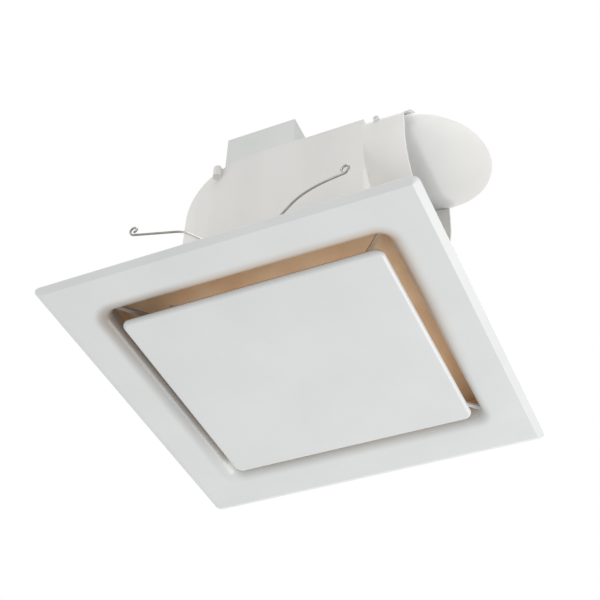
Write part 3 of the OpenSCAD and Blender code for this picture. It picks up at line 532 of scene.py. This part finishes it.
def tube(name, path, radius):
    """A closed round tube along a path."""
    bm = bmesh.new()
    rings = []
    for i, p in enumerate(path):
        along = (path[min(i + 1, len(path) - 1)] - path[max(i - 1, 0)]).normalized()
        u = Vector((0, 1, 0)).cross(along).normalized()
        v = along.cross(u)
        rings.append([bm.verts.new(p + radius * (math.cos(2 * math.pi * k / SIDES) * u
                                                 + math.sin(2 * math.pi * k / SIDES) * v))
                      for k in range(SIDES)])
    for a, b in zip(rings, rings[1:]):
        for k in range(SIDES):
            bm.faces.new((a[k], a[(k + 1) % SIDES], b[(k + 1) % SIDES], b[k]))
    bm.faces.new(rings[0][::-1])
    bm.faces.new(rings[-1])
    bmesh.ops.recalc_face_normals(bm, faces=bm.faces)
    mesh = bpy.data.meshes.new(name)
    bm.to_mesh(mesh)
    bm.free()
    made = bpy.data.objects.new(name, mesh)
    bpy.context.scene.collection.objects.link(made)
    for face in mesh.polygons:
        face.use_smooth = len(face.vertices) == 4
    return made


for side, name, flip in (("near", "v_spring_near", 1), ("far", "v_spring_far", -1)):
    path = [Vector((p.x, p.y * flip, p.z)) for p in near_path]
    wire = tube(side + "_spring_wire", path, WIRE / 2)
    wire.data.materials.append(FINISH["spring_steel"])
    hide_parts(name)
    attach(wire, "fascia")
    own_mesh(wire)
    print("wound", wire.name, len(wire.data.vertices), "points")

# %% [markdown]
# ## The room: a pale floor far below and a white surround
#
# The fan hangs in front of plain white. The camera looks up at it, so the floor lies well
# below the camera and only side views see it. It takes no part in the soft light that reaches
# the fan. The surround is white where the camera or a reflection sees it, and dimmer as a light,
# so that the white plastic doesn't clip.

# %% Floor and surround
FLOOR_HALF, FLOOR_Z = 9, -1.9
WHITE = (1, 1, 1, 1)


def room_floor():
    """A pale square floor far below the fan."""
    corners = [(x * FLOOR_HALF, y * FLOOR_HALF, FLOOR_Z)
               for x, y in ((-1, -1), (1, -1), (1, 1), (-1, 1))]
    mesh = bpy.data.meshes.new("floor")
    mesh.from_pydata(corners, [], [(0, 1, 2, 3)])
    made = bpy.data.objects.new("floor", mesh)
    bpy.context.scene.collection.objects.link(made)
    material, tree, shader, place = start("painted floor, matt", IOR=1.45, Roughness=0.9)
    spread(tree, place, shader, "EDEDEC", "F2F2F1", size_mm=900)
    made.data.materials.append(material)
    made.visible_diffuse = False


def surround(strength):
    """White to the camera and in reflections, and of that strength as a light."""
    world = bpy.data.worlds.new("white surround")
    bpy.context.scene.world = world
    world.use_nodes = True
    tree = world.node_tree
    tree.nodes.clear()
    path = add(tree, "ShaderNodeLightPath")
    seen = (path, "Is Camera Ray")
    for ray in ("Is Glossy Ray", "Is Transmission Ray"):
        either = add(tree, "ShaderNodeMath", {0: seen, 1: (path, ray)}, operation="MAXIMUM")
        seen = (either, "Value")
    light = add(tree, "ShaderNodeBackground", {"Color": WHITE, "Strength": strength})
    white = add(tree, "ShaderNodeBackground", {"Color": WHITE, "Strength": 1.0})
    mixed = add(tree, "ShaderNodeMixShader",
                {0: seen, 1: (light, "Background"), 2: (white, "Background")})
    add(tree, "ShaderNodeOutputWorld", {"Surface": (mixed, "Shader")})


room_floor()
surround(strength=0.63)
print("floor and surround made")

# %% [markdown]
# ## Lamps
#
# The photograph has one broad light from the right and below, and light from all round. Large
# area lamps give soft shadows. The low lamp is the strongest and stands below the fan, behind it
# and to its right; the front and left lamps fill in. Two small ones light what the big ones can't
# reach, the inside of the intake and the outlet. The roof lamp shines straight down like a soft
# sun, and lights the housing's roof and the floor alike.

# %% Lamps
def hang(name, data):
    """Puts a light into the scene as part of the stage."""
    made = bpy.data.objects.new(name, data)
    bpy.context.scene.collection.objects.link(made)
    made.visible_camera = False
    return made


def lamp(name, place, target, size, watts):
    """A square lamp that faces its target."""
    data = bpy.data.lights.new(name, "AREA")
    data.shape = "SQUARE"
    data.size = size
    data.energy = watts
    made = hang(name, data)
    made.location = Vector(place)
    made.rotation_euler = (Vector(target) - Vector(place)).to_track_quat("-Z", "Y").to_euler()
    print(name, "at", place, watts, "W")


def roof_lamp(strength, angle):
    """A soft lamp straight above."""
    data = bpy.data.lights.new("roof lamp", "SUN")
    data.energy = strength
    data.angle = math.radians(angle)
    hang("roof lamp", data)
    print("roof lamp straight above", strength, "W/m2")


lamp("low lamp", (1.35, 1.0, -1.05), (0.05, 0, 0.06), size=1.2, watts=18.5)
lamp("front lamp", (0.4, -1.3, 1.5), (0, 0, 0.08), size=1.2, watts=6)
lamp("left lamp", (-1.8, -0.8, 0.1), (0, 0, 0.08), size=1.2, watts=8.5)
lamp("inner lamp", (0.012, 0, 0), (0.012, 0, 0.1), size=0.18, watts=0.055)
lamp("outlet lamp", (0.2, -0.15, 0.07), (0.165, 0, 0.12), size=0.08, watts=0.035)
roof_lamp(strength=1.2, angle=12)

# %% [markdown]
# ## Finish
#
# The view transform stays Standard, so a colour renders about as it is written.

# %% Colour management
bpy.context.scene.view_settings.view_transform = "Standard"
